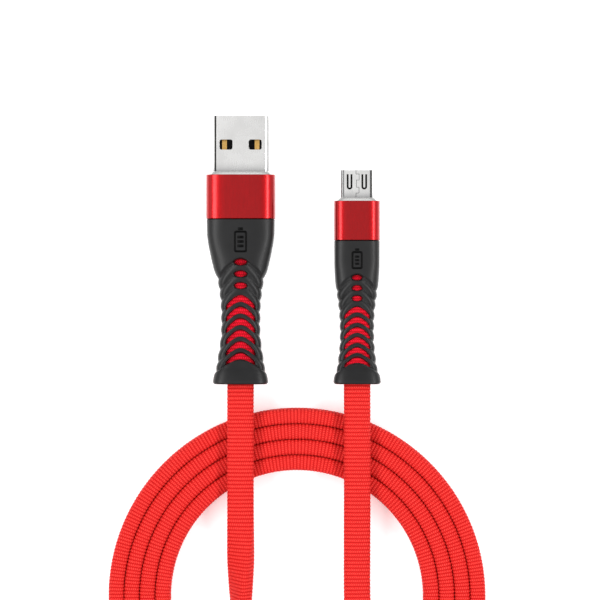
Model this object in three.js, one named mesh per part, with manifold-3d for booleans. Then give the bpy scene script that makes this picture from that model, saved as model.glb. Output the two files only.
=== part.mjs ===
// Charging cable: a USB-A plug and a Micro-B plug joined by one flat braided cable, wound into a round coil.
// Millimetres, +Z up, +Y towards the tips of the plugs. The plugs and the coil lie on the plane z = 0.
// Each plug is drawn in its own group: x across, z up from the plug's axis, y = 0 at its tip, back is -y.
import * as THREE from 'three';
import { mergeVertices } from 'three/addons/utils/BufferGeometryUtils.js';
import Module from 'manifold-3d';

const wasm = await Module();
wasm.setup();

// ---------------------------------------------------------------- driving dimensions

const GAP = 0.06; // air between two solids of one plug that touch on the real object
const REACH = 1; // how far a cutting shape runs on past the faces that it cuts

const CORD = { width: 5.75, thickness: 3.32 }; // flat braided cable, widest across its face
const WIRE_RADIUS = 0.3;
const DRAIN_RADIUS = 0.22;

const COIL = { x: 0.8, y: -74.6, turns: 4, pitch: 3.34, innerRadius: 27.2 };

// Each boot is a list of [distance back from its front, half width, half height].
const USB_A = {
  axis: [-11.3, 3.95],
  tipY: 28.8,
  shell: { width: 12, height: 4.5, sheet: 0.3, corner: 0.45, exposed: 12, length: 17.5 },
  sleeve: { halfWidth: 7.42, halfHeight: 3.95, wall: 0.8, length: 10.1 },
  boot: [
    [0, 7.3, 3.85], [3.5, 7.2, 3.83], [6.5, 6.75, 3.7], [10, 5.95, 3.42], [13, 5.0, 3.15],
    [16.5, 4.5, 2.95], [20.5, 4.15, 2.85], [24.5, 4.15, 2.85], [28.5, 4.55, 2.98],
    [32.2, 5.15, 3.25], [33.5, 5.6, 3.5], [34.89, 5.8, 3.6],
  ],
  bend: { from: 10, length: 23.6, angle: 0.212 },
  pocket: { halfWidth: 5.3, halfHeight: 2.0, depth: 3.6 },
  slots: { first: 9.25, pitch: 2.58, ovals: 3, chevrons: 6, span: 6.2, ovalWidth: 2.8, opening: 1.25 },
};

const MICRO_B = {
  axis: [13.7, 3.4],
  tipY: 17.2,
  shell: { width: 6.85, height: 1.8, sheet: 0.25, narrow: 5.3, shoulder: 0.95, exposed: 6, length: 9.5 },
  sleeve: { halfWidth: 4.92, halfHeight: 3.4, wall: 0.75, length: 9.1 },
  boot: [
    [0, 4.86, 3.34], [5.3, 4.82, 3.3], [8.5, 4.65, 3.15], [11.5, 4.35, 2.98], [15, 3.85, 2.76],
    [18.5, 3.65, 2.66], [21.5, 3.62, 2.64], [25, 3.95, 2.74], [28, 4.4, 2.95],
    [29.1, 4.8, 3.15], [30.31, 5.02, 3.25],
  ],
  bend: { from: 6.5, length: 22.6, angle: 0.25 },
  pocket: { halfWidth: 3.5, halfHeight: 1.75, depth: 2.6 },
  slots: { first: 8.05, pitch: 2.275, ovals: 3, chevrons: 6, span: 5.4, ovalWidth: 2.1, opening: 1.1 },
};

const CHAMFER = { axial: 0.75, radial: 0.5 }; // bright cut edge at the front of each sleeve
const CHEVRON = { slope: 1, apexRadius: 1 }; // slots run back and out from the middle
const SLOT_FLOOR = 0.7; // how far from the axis each slot in a boot is cut down to
const BORE_CLEARANCE = 0.12; // between the cable and the bore of its boot
const POCKET_CORNER = 0.6; // inner corners of the hollow where the conductors are joined

// The cable's own route, by hand: [x, y, z, roll in degrees]. Roll 0 lies flat and 90 stands on edge.
const TAIL_A_ROUTE = [
  [-11.3, -28.35, 6.76, 0], [-11.3, -32, 7.36, 0], [-11.3, -36, 7.56, 0], [-11.3, -43, 7.56, 0],
  [-11.3, -50, 7.52, 0], [-11.3, -56, 7.1, 0], [-11.3, -62, 6.2, 12], [-11.3, -68, 5.1, 34],
  [-11.3, -74, 4.05, 58], [-11.25, -80, 3.25, 78], [-10.9, -86, 2.95, 90], [-9.1, -92, 2.92, 90],
  [-5.4, -96.7, 2.92, 90], [-0.6, -99.4, 2.92, 90],
];
const TAIL_B_ROUTE = [
  [-22.3, -104.2, 7.66, 0], [-17, -107.2, 7.62, 0], [-11.7, -108.9, 7.6, 0], [-7, -109.4, 7.6, 0],
  [-2.2, -109, 7.6, 0], [2.3, -107.8, 7.6, 0], [6.4, -105.7, 7.6, 0], [10, -102.6, 7.6, 0],
  [12.7, -98.6, 7.6, 0], [14, -94, 7.5, 0], [14.2, -89.5, 7.05, 0], [13.95, -84, 6.2, 0],
  [13.8, -78, 5.6, 0], [13.7, -72, 5.5, 0], [13.7, -66, 5.85, 0], [13.7, -60, 6.6, 0],
  [13.7, -54, 7.35, 0], [13.7, -49, 7.58, 0], [13.7, -43, 7.58, 0], [13.7, -36, 7.56, 0],
  [13.7, -31.5, 7.2, 0], [13.7, -28.25, 6.58, 0],
];

const FINISH = {
  nickel: { color: 0xd8d6d2, roughness: 0.28, metalness: 1 },
  gold: { color: 0xd9a441, roughness: 0.3, metalness: 1 },
  anodised: { color: 0xb01c22, roughness: 0.35, metalness: 0.9 },
  rubber: { color: 0x2a2a2b, roughness: 0.6, metalness: 0 },
  insulator: { color: 0x16161a, roughness: 0.5, metalness: 0 },
  braid: { color: 0xe0241f, roughness: 0.8, metalness: 0 },
  steel: { color: 0xb8b8ba, roughness: 0.35, metalness: 1 },
  tin: { color: 0xc9c9c4, roughness: 0.45, metalness: 1 },
  red: { color: 0xc02020, roughness: 0.45, metalness: 0 },
  black: { color: 0x1a1a1a, roughness: 0.45, metalness: 0 },
  white: { color: 0xe8e8e4, roughness: 0.45, metalness: 0 },
  green: { color: 0x1f8a3c, roughness: 0.45, metalness: 0 },
};
const CONDUCTORS = ['red', 'white', 'green', 'black'];

// ---------------------------------------------------------------- solids

function piece(name, geometry, finish) {
  const mesh = new THREE.Mesh(geometry, new THREE.MeshStandardMaterial(FINISH[finish]));
  mesh.name = name;
  return mesh;
}

function toSolid(geometry) {
  const bare = geometry.clone();
  bare.deleteAttribute('normal');
  bare.deleteAttribute('uv');
  const merged = mergeVertices(bare, 1e-4);
  const mesh = new wasm.Mesh({
    numProp: 3,
    vertProperties: new Float32Array(merged.attributes.position.array),
    triVerts: new Uint32Array(merged.index.array),
  });
  return new wasm.Manifold(mesh);
}

function toGeometry(solid) {
  const mesh = solid.getMesh();
  const geometry = new THREE.BufferGeometry();
  geometry.setAttribute('position', new THREE.BufferAttribute(mesh.vertProperties, 3));
  geometry.setIndex(new THREE.BufferAttribute(mesh.triVerts, 1));
  return geometry;
}

function cut(body, ...tools) {
  let solid = toSolid(body);
  for (const tool of tools) {
    solid = solid.subtract(toSolid(tool));
  }
  return toGeometry(solid);
}

// Moves every vertex of a geometry by a function of its place.
function reshape(geometry, move) {
  const place = geometry.attributes.position;
  const point = new THREE.Vector3();
  for (let i = 0; i < place.count; i += 1) {
    point.fromBufferAttribute(place, i);
    move(point);
    place.setXYZ(i, point.x, point.y, point.z);
  }
  return geometry;
}

// An outline in x and z, drawn out backwards from y = front.
function drawBack(shape, front, length, steps = 1, curveSegments = 4) {
  const options = { depth: length, steps, curveSegments, bevelEnabled: false };
  return new THREE.ExtrudeGeometry(shape, options).rotateX(Math.PI / 2).translate(0, front, 0);
}

// An outline in y and z, drawn out across the plug and centred on x.
function drawAcross(shape, x, width) {
  const geometry = new THREE.ExtrudeGeometry(shape, { depth: width, bevelEnabled: false });
  return reshape(geometry, (p) => p.set(p.z + x - width / 2, p.x, p.y));
}

// An outline in x and y, drawn upwards from z = low.
function drawUp(shape, low, height, curveSegments = 4) {
  const geometry = new THREE.ExtrudeGeometry(shape, { depth: height, curveSegments, bevelEnabled: false });
  return geometry.translate(0, 0, low);
}

function outline(points) {
  return new THREE.Shape(points.map(([u, v]) => new THREE.Vector2(u, v)));
}

function roundedRectangle(width, height, radius) {
  const x = width / 2 - radius;
  const y = height / 2 - radius;
  const shape = new THREE.Shape();
  shape.absarc(x, y, radius, 0, Math.PI / 2);
  shape.absarc(-x, y, radius, Math.PI / 2, Math.PI);
  shape.absarc(-x, -y, radius, Math.PI, Math.PI * 1.5);
  shape.absarc(x, -y, radius, Math.PI * 1.5, Math.PI * 2);
  return shape;
}

// A flat-sided round outline of unit half width and half height, with a flat facet at top and bottom.
function softSquare(count) {
  const power = 0.4; // 1 would give an ellipse, and 0 a rectangle
  const furthest = Math.cos(Math.PI / count) ** power;
  const points = [];
  for (let i = 0; i < count; i += 1) {
    const angle = ((i + 0.5) * 2 * Math.PI) / count;
    const c = Math.cos(angle);
    const s = Math.sin(angle);
    points.push([
      (Math.sign(c) * Math.abs(c) ** power) / furthest,
      (Math.sign(s) * Math.abs(s) ** power) / furthest,
    ]);
  }
  return outline(points);
}

// A body through stations [y, half width, half height], on the soft square.
function loft(stations, count = 20) {
  const steps = stations.length - 1;
  const geometry = drawBack(softSquare(count), 0, steps, steps);
  return reshape(geometry, (p) => {
    const [y, halfWidth, halfHeight] = stations[Math.round(-p.y)];
    p.set(p.x * halfWidth, y, p.z * halfHeight);
  });
}

// Bends what lies behind a plug's stiff front upwards along an arc.
function bendUp(geometry, plug) {
  const start = plug.bootFront - plug.bend.from;
  const radius = plug.bend.length / plug.bend.angle;
  return reshape(geometry, (p) => {
    const along = start - p.y;
    if (along > 0) {
      const angle = Math.min(along / radius, plug.bend.angle);
      const beyond = Math.max(along - plug.bend.length, 0);
      const y = start - (radius - p.z) * Math.sin(angle) - beyond * Math.cos(angle);
      const z = radius - (radius - p.z) * Math.cos(angle) + beyond * Math.sin(angle);
      p.set(p.x, y, z);
    }
  });
}

function wireTube(points, radius, finish, name) {
  const curve = new THREE.CatmullRomCurve3(points.map((p) => new THREE.Vector3(...p)));
  const section = new THREE.Shape();
  section.absarc(0, 0, radius, 0, Math.PI * 2);
  const options = { steps: 6, curveSegments: 3, extrudePath: curve, bevelEnabled: false };
  return piece(name, new THREE.ExtrudeGeometry(section, options), finish);
}

// ---------------------------------------------------------------- pieces that both plugs have

function makeSleeve(name, plug) {
  const { halfWidth, halfHeight, wall, length } = plug.sleeve;
  const front = -plug.shell.exposed;
  const outside = loft([
    [front, halfWidth - CHAMFER.radial, halfHeight - CHAMFER.radial],
    [front - CHAMFER.axial, halfWidth, halfHeight],
    [front - length, halfWidth, halfHeight],
  ]);
  const inside = loft([
    [front + REACH, halfWidth - wall, halfHeight - wall],
    [front - length - REACH, halfWidth - wall, halfHeight - wall],
  ]);
  return piece(name, cut(outside, inside), 'anodised');
}

function pocketOutline(plug) {
  const { halfWidth, halfHeight } = plug.pocket;
  return roundedRectangle(halfWidth * 2, halfHeight * 2, POCKET_CORNER);
}

function makeInnerMould(name, plug, shellOutline) {
  const { halfWidth, halfHeight, wall, length } = plug.sleeve;
  const front = -plug.shell.exposed;
  const inset = wall + GAP;
  const body = loft([
    [front, halfWidth - inset, halfHeight - inset],
    [front - length, halfWidth - inset, halfHeight - inset],
  ]);
  const shellEnd = -plug.shell.length - GAP;
  const passage = drawBack(shellOutline, front + REACH, front + REACH - shellEnd);
  const pocket = drawBack(pocketOutline(plug), shellEnd + REACH / 2, length + REACH);
  return piece(name, cut(body, passage, pocket), 'insulator');
}

function chevronLine(x) {
  return CHEVRON.slope * (Math.hypot(x, CHEVRON.apexRadius) - CHEVRON.apexRadius);
}

// A chevron opening: its front and back edges follow the chevron line over the slot's span.
function chevronOutline(y, span, opening) {
  const across = [-1, -0.25, 0.25, 1].map((part) => (part * span) / 2);
  const front = across.map((x) => [x, y + opening / 2 - chevronLine(x)]);
  const back = across.map((x) => [x, y - opening / 2 - chevronLine(x)]);
  return outline([...back, ...front.reverse()]);
}

function ovalOutline(y, width, opening) {
  const end = width / 2;
  const shoulder = end - opening * 0.35;
  return outline([
    [end, y], [shoulder, y + opening / 2], [-shoulder, y + opening / 2],
    [-end, y], [-shoulder, y - opening / 2], [shoulder, y - opening / 2],
  ]);
}

function slotShapes(plug) {
  const { first, pitch, ovals, chevrons, span, ovalWidth, opening } = plug.slots;
  const shapes = [];
  for (let i = 0; i < ovals + chevrons; i += 1) {
    const y = plug.bootFront - first - i * pitch;
    shapes.push(i < ovals ? ovalOutline(y, ovalWidth, opening) : chevronOutline(y, span, opening));
  }
  return shapes;
}

function makeBoot(name, plug) {
  const front = plug.bootFront;
  const stations = plug.boot.map(([back, halfWidth, halfHeight]) => [front - back, halfWidth, halfHeight]);
  const boreSteps = 10;
  const bore = drawBack(cordOutline(BORE_CLEARANCE), front - REACH, plug.bootLength + REACH, boreSteps);
  const pocket = drawBack(pocketOutline(plug), front + REACH, plug.pocket.depth + REACH);
  const slotDepth = plug.sleeve.halfHeight + REACH;
  const slots = slotShapes(plug).flatMap((shape) => [
    bendUp(drawUp(shape, SLOT_FLOOR, slotDepth), plug),
    bendUp(drawUp(shape, -SLOT_FLOOR - slotDepth, slotDepth), plug),
  ]);
  return piece(name, cut(bendUp(loft(stations), plug), bendUp(bore, plug), pocket, ...slots), 'rubber');
}

// The cable's section: two flat faces joined by round edges, in twelve sides.
function cordOutline(grow = 0) {
  const radius = CORD.thickness / 2 + grow;
  const flat = (CORD.width - CORD.thickness) / 2;
  const edgeSteps = 5;
  const points = [];
  for (const side of [1, -1]) {
    for (let i = 0; i <= edgeSteps; i += 1) {
      const angle = (i / edgeSteps - 0.5) * Math.PI;
      points.push([side * (flat + radius * Math.cos(angle)), side * radius * Math.sin(angle)]);
    }
  }
  return outline(points);
}

// The stretch of cable that is moulded into the boot. It stops just behind the soldered conductors.
function makeCableEnd(name, plug) {
  const start = plug.wireEnd - 0.1;
  const end = plug.bootFront - plug.bootLength;
  const steps = 10;
  return piece(name, bendUp(drawBack(cordOutline(), start, start - end, steps), plug), 'braid');
}

// One wire for each of four contacts, from the contact's tail at the given x to the cable's end.
function makeWires(prefix, plug, tailXs, tailZ) {
  const start = plug.contactEnd - 0.1;
  const spacing = 0.95;
  return CONDUCTORS.map((finish, i) => {
    const x = (i - (CONDUCTORS.length - 1) / 2) * spacing;
    const route = [
      [tailXs[i], start, tailZ], [tailXs[i], start - 0.8, tailZ * 0.8],
      [x, plug.wireEnd + 1, 0], [x, plug.wireEnd, 0],
    ];
    return wireTube(route, WIRE_RADIUS, finish, `${prefix}_wire_${finish}`);
  });
}

// A plug's places along y that several of its pieces share.
function withPlaces(sizes, contactEnd) {
  const bootFront = -sizes.shell.exposed - sizes.sleeve.length - GAP;
  const wireEnd = bootFront - sizes.pocket.depth - 0.2;
  return { ...sizes, contactEnd, bootFront, wireEnd, bootLength: sizes.boot.at(-1)[0] };
}

// ---------------------------------------------------------------- USB-A plug

const A_WINDOW = { x: 3.05, y: -6.2, width: 2.75, length: 2.15, corner: 0.35 };
const A_CONTACT = { width: 1, top: -0.05, thickness: 0.25, front: -1, end: -19.3, xs: [-3.5, -1, 1, 3.5] };
const A_TONGUE = { top: -0.15, front: -0.4, root: -9.2, bevel: 0.3 };

function makeUsbAShell(plug) {
  const { width, height, sheet, corner, length } = plug.shell;
  const outside = drawBack(roundedRectangle(width, height, corner), 0, length, 1, 2);
  const hollow = roundedRectangle(width - 2 * sheet, height - 2 * sheet, corner - sheet);
  const inside = drawBack(hollow, REACH, length + 2 * REACH, 1, 1);
  const hole = roundedRectangle(A_WINDOW.width, A_WINDOW.length, A_WINDOW.corner);
  const holes = [-A_WINDOW.x, A_WINDOW.x].map((x) => (
    drawUp(hole, -height, 2 * height, 2).translate(x, A_WINDOW.y, 0)
  ));
  return piece('usb_a_shell', cut(outside, inside, ...holes), 'nickel');
}

// The tongue fills the lower half of the shell, and a full block holds it at the back.
function makeUsbAInsulator(plug) {
  const { width, height, sheet, length } = plug.shell;
  const halfHeight = height / 2 - sheet - GAP;
  const { top, front, root, bevel } = A_TONGUE;
  const body = drawAcross(outline([
    [front, -halfHeight], [front, top - bevel], [front - bevel, top],
    [root, top], [root, halfHeight], [-length, halfHeight], [-length, -halfHeight],
  ].reverse()), 0, width - 2 * sheet - 2 * GAP);
  const seatFront = A_CONTACT.front + GAP;
  const seatFloor = A_CONTACT.top - A_CONTACT.thickness - GAP;
  const seatTop = 0.02; // clears the contacts where they run back through the block
  const seats = A_CONTACT.xs.map((x) => drawAcross(outline([
    [seatFront, seatFloor], [seatFront, seatTop], [-length - REACH, seatTop], [-length - REACH, seatFloor],
  ].reverse()), x, A_CONTACT.width + 2 * GAP));
  return piece('usb_a_insulator', cut(body, ...seats), 'insulator');
}

function makeUsbAContacts() {
  const { top, thickness, front, end, width, xs } = A_CONTACT;
  const bevel = [0.3, 0.12]; // back and down
  const profile = outline([
    [front, top - thickness], [front, top - bevel[1]], [front - bevel[0], top],
    [end, top], [end, top - thickness],
  ].reverse());
  return xs.map((x, i) => piece(`usb_a_contact_${i + 1}`, drawAcross(profile, x, width), 'gold'));
}

function makeUsbADrain(plug) {
  const route = [
    [-4.4, -plug.shell.length - 0.1, 1.35], [-3.2, -20, 1.4],
    [-0.6, plug.wireEnd + 1.6, 1.2], [0, plug.wireEnd, 1.15],
  ];
  return wireTube(route, DRAIN_RADIUS, 'tin', 'usb_a_drain_wire');
}

function makeUsbAPlug() {
  const plug = withPlaces(USB_A, A_CONTACT.end);
  const { width, height, corner } = plug.shell;
  const aroundShell = roundedRectangle(width + 2 * GAP, height + 2 * GAP, corner);
  const group = new THREE.Group();
  group.position.set(plug.axis[0], plug.tipY, plug.axis[1]);
  group.add(makeUsbAShell(plug), makeUsbAInsulator(plug), ...makeUsbAContacts());
  group.add(makeInnerMould('usb_a_inner_mould', plug, aroundShell), makeSleeve('usb_a_sleeve', plug));
  group.add(makeBoot('usb_a_boot', plug), makeCableEnd('usb_a_cable_end', plug));
  group.add(...makeWires('usb_a', plug, A_CONTACT.xs, -0.18), makeUsbADrain(plug));
  return group;
}

// ---------------------------------------------------------------- Micro-B plug

const B_CONTACT = { width: 0.38, top: 0, thickness: 0.14, front: -0.9, end: -10.5, pitch: 0.65, count: 5 };
const B_TONGUE = { front: -0.5, root: -5, width: 3.6, blockWidth: 5.8, blockFloor: 0.05 };
const LATCH = { x: 2.25, width: 0.46, front: -1.15, top: -0.34, bottom: -0.56, hookTip: -1.2, pivotY: -8 };
const LATCH_WINDOW = { y: -1.9, width: 0.84, length: 1.9, corner: 0.1 };
const SLIT = { x: 1.58, front: -0.85, length: 2.75, radius: 0.56, line: 0.2 };
const SEAM = { halfLine: 0.04, step: 0.28 };
const TOP_CUT = { low: 0.3, height: 2 }; // cuts through the top sheet of the shell only

// The shell's outline: wide and flat on top, with its lower corners cut away.
function microBOutline(inset) {
  const { width, height, narrow, shoulder } = MICRO_B.shell;
  const side = width / 2 - inset;
  const foot = narrow / 2 - inset * 0.7; // keeps the sheet even round the cut corner
  const top = height / 2 - inset;
  const bevel = 0.22;
  const waist = height / 2 - shoulder - 0.15;
  return outline([
    [foot, -top], [side, waist], [side, top - bevel], [side - bevel, top],
    [bevel - side, top], [-side, top - bevel], [-side, waist], [-foot, -top],
  ]);
}

// A U-shaped slit that leaves a tongue hanging from the front of the shell.
function springSlit(x) {
  const { front, length, radius, line } = SLIT;
  const centreY = front - length;
  const inner = radius - line;
  const shape = new THREE.Shape();
  shape.moveTo(x - radius, front);
  shape.absarc(x, centreY, radius, Math.PI, Math.PI * 2);
  shape.lineTo(x + radius, front);
  shape.lineTo(x + inner, front);
  shape.absarc(x, centreY, inner, Math.PI * 2, Math.PI, true);
  shape.lineTo(x - inner, front);
  return drawUp(shape, TOP_CUT.low, TOP_CUT.height, 5);
}

// The joint in the folded sheet: a stepped line along the middle of the top, as [y, x] corners.
function seamCut() {
  const { halfLine, step } = SEAM;
  const corners = [
    [0.5, step], [-0.9, step], [-0.9, -step], [-2.3, -step],
    [-2.3, step], [-3.7, step], [-3.7, 0], [-5.2, 0],
  ];
  const edge = (side) => corners.map(([y, x], i) => [
    x + side * halfLine, y - side * seamCorner(corners, i) * halfLine,
  ]);
  return drawUp(outline([...edge(-1), ...edge(1).reverse()]), TOP_CUT.low, TOP_CUT.height);
}

// Which way the seam's corner turns, so that its two edges stay one line apart.
function seamCorner(corners, i) {
  const before = corners[Math.max(i - 1, 0)];
  const after = corners[Math.min(i + 1, corners.length - 1)];
  return Math.sign(before[1] - after[1]);
}

function makeMicroBShell(plug) {
  const { sheet, height, length } = plug.shell;
  const outside = drawBack(microBOutline(0), 0, length);
  const inside = drawBack(microBOutline(sheet), REACH, length + 2 * REACH);
  const hole = roundedRectangle(LATCH_WINDOW.width, LATCH_WINDOW.length, LATCH_WINDOW.corner);
  const windows = [-LATCH.x, LATCH.x].map((x) => (
    drawUp(hole, -height, height, 2).translate(x, LATCH_WINDOW.y, 0)
  ));
  const slits = [-SLIT.x, SLIT.x].map(springSlit);
  return piece('micro_b_shell', cut(outside, inside, ...windows, ...slits, seamCut()), 'nickel');
}

function contactXs() {
  return Array.from({ length: B_CONTACT.count }, (_, i) => (i - (B_CONTACT.count - 1) / 2) * B_CONTACT.pitch);
}

function makeMicroBInsulator(plug) {
  const { height, sheet, length } = plug.shell;
  const { front, root, width, blockWidth, blockFloor } = B_TONGUE;
  const top = height / 2 - sheet - GAP;
  const lower = drawAcross(outline([
    [front, -top], [front, B_CONTACT.top - 0.12], [front - 0.2, B_CONTACT.top], [root, B_CONTACT.top],
    [root, top], [-length, top], [-length, -top],
  ].reverse()), 0, width);
  const wings = drawAcross(outline([
    [root, blockFloor], [root, top], [-length, top], [-length, blockFloor],
  ].reverse()), 0, blockWidth);
  const seatFront = B_CONTACT.front + GAP;
  const seatFloor = B_CONTACT.top - B_CONTACT.thickness - GAP;
  const seatTop = 0.2;
  let solid = toSolid(lower).add(toSolid(wings));
  for (const x of contactXs()) {
    const seat = outline([
      [seatFront, seatFloor], [seatFront, seatTop], [-length - REACH, seatTop], [-length - REACH, seatFloor],
    ].reverse());
    solid = solid.subtract(toSolid(drawAcross(seat, x, B_CONTACT.width + 2 * GAP)));
  }
  return piece('micro_b_insulator', toGeometry(solid), 'insulator');
}

// Each contact has a low hump near its front, where it presses on the socket.
function makeMicroBContacts() {
  const { top, thickness, front, end, width } = B_CONTACT;
  const hump = { height: 0.12, back: 0.7, length: 1.6 };
  const profile = outline([
    [front, top - thickness], [front, top - 0.04], [front - hump.back, top + hump.height],
    [front - hump.length, top], [end, top], [end, top - thickness],
  ].reverse());
  return contactXs().map((x, i) => piece(`micro_b_contact_${i + 1}`, drawAcross(profile, x, width), 'gold'));
}

// A sprung strip inside the shell whose hook stands out through the shell's lower face.
function makeLatch(name, x) {
  const { front, top, bottom, hookTip, width, pivotY } = LATCH;
  const back = pivotY - 0.5;
  const profile = outline([
    [front, bottom], [front, top], [back, top], [back, bottom],
    [front - 1.4, bottom], [front - 1.35, hookTip], [front - 1, hookTip],
  ].reverse());
  return piece(name, drawAcross(profile, x, width), 'steel');
}

function makeMicroBDrain(plug) {
  const route = [
    [-2.6, -plug.shell.length - 0.12, 0.7], [-2.2, -12, 0.95],
    [-0.6, plug.wireEnd + 1.6, 1.1], [0, plug.wireEnd, 1.1],
  ];
  return wireTube(route, DRAIN_RADIUS, 'tin', 'micro_b_drain_wire');
}

function makeMicroBPlug() {
  const plug = withPlaces(MICRO_B, B_CONTACT.end);
  const group = new THREE.Group();
  group.position.set(plug.axis[0], plug.tipY, plug.axis[1]);
  group.add(makeMicroBShell(plug), makeMicroBInsulator(plug), ...makeMicroBContacts());
  group.add(makeLatch('micro_b_latch_left', -LATCH.x), makeLatch('micro_b_latch_right', LATCH.x));
  group.add(makeInnerMould('micro_b_inner_mould', plug, microBOutline(-GAP)));
  group.add(makeSleeve('micro_b_sleeve', plug), makeBoot('micro_b_boot', plug));
  group.add(makeCableEnd('micro_b_cable_end', plug), makeMicroBDrain(plug));
  const xs = contactXs();
  const soldered = [xs[0], xs[1], xs[2], xs[4]]; // the fourth contact is left unused
  group.add(...makeWires('micro_b', plug, soldered, -0.07));
  return group;
}

// ---------------------------------------------------------------- the free cable

// A flat tube along a route, turned about its length by each point's roll.
function ribbon(name, route, steps) {
  const curve = new THREE.CatmullRomCurve3(route.map(([x, y, z]) => new THREE.Vector3(x, y, z)));
  const rolls = route.map((p) => THREE.MathUtils.degToRad(p[3]));
  const up = new THREE.Vector3(0, 0, 1);
  const frames = Array.from({ length: steps + 1 }, (_, i) => {
    const t = i / steps;
    const place = t * (route.length - 1);
    const before = Math.min(Math.floor(place), route.length - 2);
    const roll = THREE.MathUtils.lerp(rolls[before], rolls[before + 1], place - before);
    const along = curve.getTangent(t);
    const across = new THREE.Vector3().crossVectors(along, up).normalize().applyAxisAngle(along, roll);
    const lift = new THREE.Vector3().crossVectors(along, across).normalize();
    return { point: curve.getPoint(t), across, lift };
  });
  const geometry = drawBack(cordOutline(), 0, steps, steps);
  return piece(name, reshape(geometry, (p) => {
    const { point, across, lift } = frames[Math.round(-p.y)];
    p.copy(point.clone().addScaledVector(across, p.x).addScaledVector(lift, p.z));
  }), 'braid');
}

// The wound turns stand on edge side by side, so together they fill a flat ring.
function makeCoil() {
  const inner = COIL.innerRadius;
  const outer = inner + COIL.turns * COIL.pitch;
  const height = CORD.width;
  const rim = 1.2; // bevel along the ring's four edges
  const sides = 40;
  const profile = [
    [inner, rim], [inner + rim, 0], [outer - rim, 0], [outer, rim],
    [outer, height - rim], [outer - rim, height], [inner + rim, height], [inner, height - rim], [inner, rim],
  ].map(([r, z]) => new THREE.Vector2(r, z));
  const geometry = new THREE.LatheGeometry(profile, sides);
  geometry.rotateX(Math.PI / 2);
  geometry.translate(COIL.x, COIL.y, 0);
  return piece('cable_coil', geometry, 'braid');
}

const group = new THREE.Group();
group.add(makeUsbAPlug(), makeMicroBPlug());
group.add(ribbon('cable_tail_a', TAIL_A_ROUTE, 16), makeCoil(), ribbon('cable_tail_b', TAIL_B_ROUTE, 24));

export default group;
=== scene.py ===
"""Charging cable: a USB-A plug and a Micro-B plug on one flat braided cable, wound into a coil."""
import math

import bmesh
import bpy
import numpy as np
from mathutils import Matrix, Vector


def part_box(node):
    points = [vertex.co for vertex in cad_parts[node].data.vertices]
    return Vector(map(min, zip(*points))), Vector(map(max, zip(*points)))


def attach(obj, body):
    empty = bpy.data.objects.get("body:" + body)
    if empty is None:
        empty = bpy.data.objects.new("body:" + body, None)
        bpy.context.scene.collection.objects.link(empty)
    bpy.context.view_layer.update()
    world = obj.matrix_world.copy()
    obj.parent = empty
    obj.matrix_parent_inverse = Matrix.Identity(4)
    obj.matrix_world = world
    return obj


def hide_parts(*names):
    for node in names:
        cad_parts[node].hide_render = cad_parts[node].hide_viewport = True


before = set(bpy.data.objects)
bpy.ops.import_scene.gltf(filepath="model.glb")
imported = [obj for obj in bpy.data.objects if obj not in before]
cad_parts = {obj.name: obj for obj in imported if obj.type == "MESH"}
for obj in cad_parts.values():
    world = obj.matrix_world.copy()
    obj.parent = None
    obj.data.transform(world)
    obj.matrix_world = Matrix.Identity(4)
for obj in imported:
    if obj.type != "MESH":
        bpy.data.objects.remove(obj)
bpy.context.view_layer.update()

MM = 0.001
BODY = "cable"


def node_box(name):
    """A CAD node's corners in millimetres."""
    low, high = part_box(name)
    return np.array(low) / MM, np.array(high) / MM


# -------------------- camera, light and floor

VIEW_CENTRE = (1.45, -10.77, 5.0)  # mm
VIEW_WIDTH = 129.0  # mm, seen at the height of VIEW_CENTRE
LENS = 200.0  # mm
SENSOR = 36.0  # mm


def make_camera():
    data = bpy.data.cameras.new("camera")
    data.lens = LENS
    data.sensor_width = SENSOR
    data.clip_start = 0.01
    data.clip_end = 20
    camera = bpy.data.objects.new("camera", data)
    bpy.context.scene.collection.objects.link(camera)
    distance = VIEW_WIDTH * LENS / SENSOR
    camera.location = [VIEW_CENTRE[0] * MM, VIEW_CENTRE[1] * MM, (VIEW_CENTRE[2] + distance) * MM]
    bpy.context.scene.camera = camera


# Soft boxes: (name, degrees down from straight up, towards x and y, distance, width, length, radiance).
# Lengths are in metres.
SOFT_BOXES = [
    ("top", 0, (0, 1), 1.2, 0.5, 0.9, 0.35),
    ("side_left", 34, (-1, 0), 0.95, 1.4, 0.3, 5.8),
    ("side_right", 37, (1, 0), 0.95, 1.4, 0.2, 8.0),
    ("wall_left", 68, (-1, 0), 1.0, 1.4, 0.55, 0.75),
    ("wall_right", 68, (1, 0), 1.0, 1.4, 0.55, 0.65),
    ("back", 64, (0, 1), 0.95, 0.8, 0.2, 0.8),
    ("front", 62, (0, -1), 1.0, 0.9, 0.2, 1.0),
]
WORLD_STRENGTH = 0.45


def make_soft_box(name, tilt, towards, distance, width, length, radiance):
    data = bpy.data.lights.new(name, "AREA")
    data.shape = "RECTANGLE"
    data.size = width
    data.size_y = length
    data.energy = radiance * math.pi * width * length
    light = bpy.data.objects.new(name, data)
    bpy.context.scene.collection.objects.link(light)
    tilt = math.radians(tilt)
    side = Vector((towards[0], towards[1], 0)) * math.sin(tilt)
    away = side + Vector((0, 0, math.cos(tilt)))
    light.location = Vector((VIEW_CENTRE[0], VIEW_CENTRE[1], 0)) * MM + away * distance
    light.rotation_euler = away.to_track_quat("Z", "Y").to_euler()
    light.visible_camera = False


def make_studio():
    for soft_box in SOFT_BOXES:
        make_soft_box(*soft_box)
    world = bpy.data.worlds.new("studio")
    world.use_nodes = True
    background = world.node_tree.nodes["Background"]
    background.inputs["Color"].default_value = (1.0, 1.0, 1.0, 1.0)
    background.inputs["Strength"].default_value = WORLD_STRENGTH
    bpy.context.scene.world = world
    bpy.context.scene.view_settings.view_transform = "Standard"


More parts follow.
